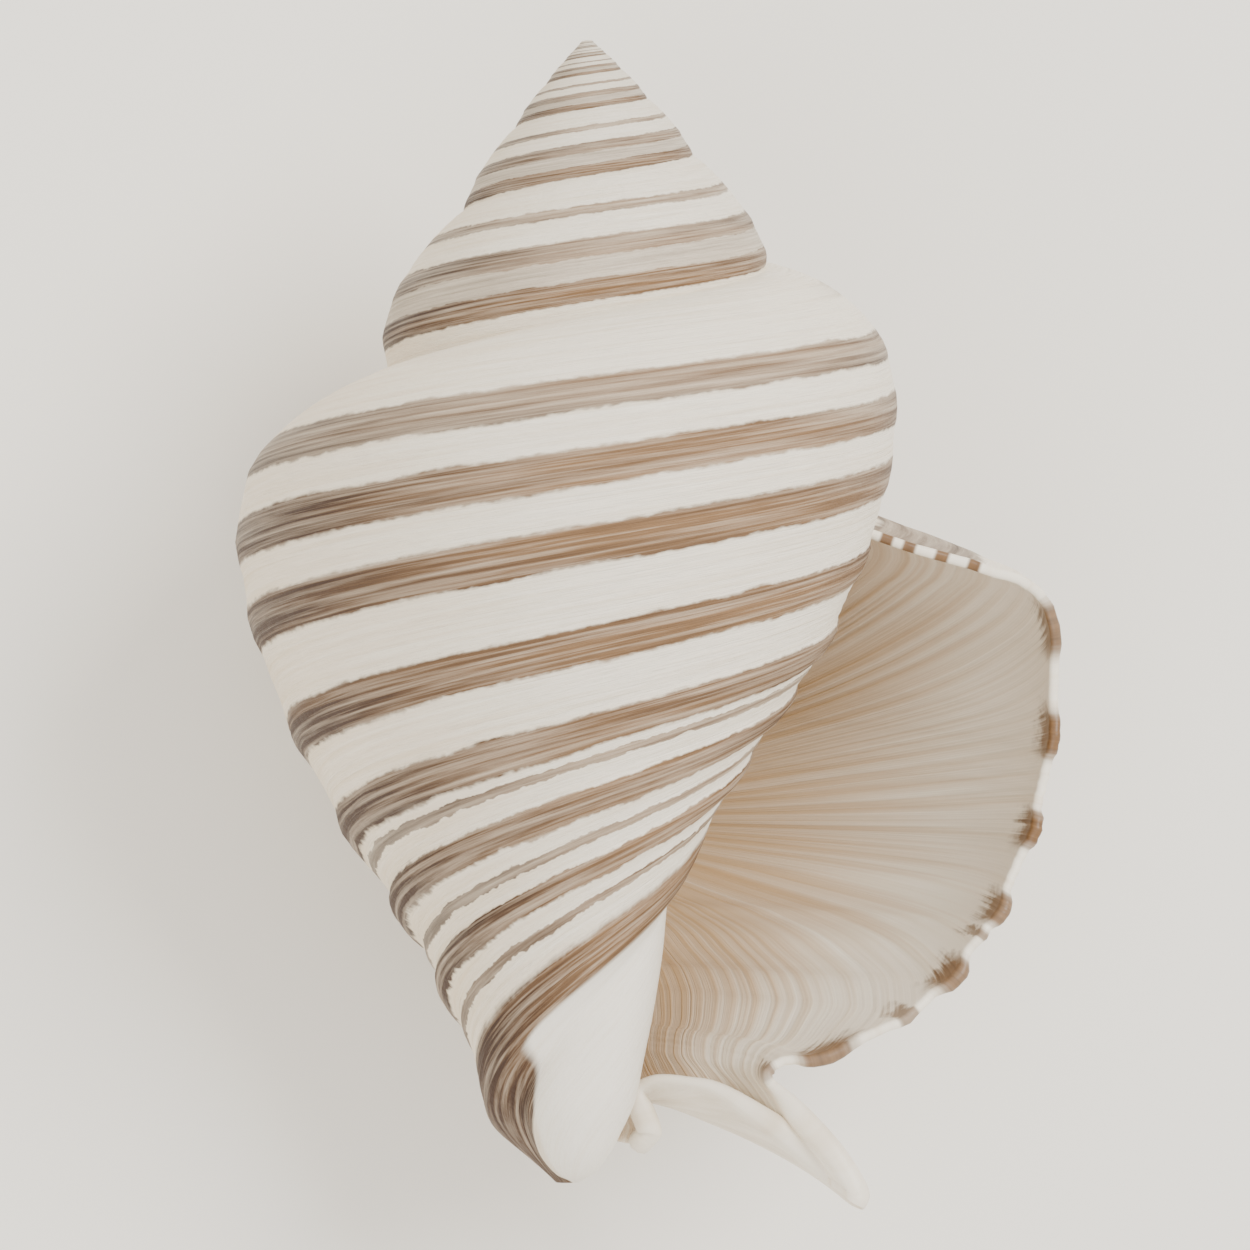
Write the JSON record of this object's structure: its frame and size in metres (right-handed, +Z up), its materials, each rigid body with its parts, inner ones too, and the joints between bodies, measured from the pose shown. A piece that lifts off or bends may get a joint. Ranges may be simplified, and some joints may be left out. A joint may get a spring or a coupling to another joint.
{
  "type": "whelk shell",
  "caption": "Spiral sea snail shell with a tall stepped spire, dark spiral bands, a wide flared mouth and a short open canal, lying on its back with the mouth up.",
  "frame": {"origin": "on the floor under the middle of the bounding box", "axes": "+Y towards the apex along the coiling axis, +Z up, out of the mouth, +X towards the flared lip"},
  "size_m": [0.0828, 0.1182, 0.0732],
  "materials": {
    "shell": "satin, cream with tan and brown spiral bands, porcelain-like inside the mouth"
  },
  "bodies": {
    "root": {"shell": "shell"}
  },
  "joints": []
}
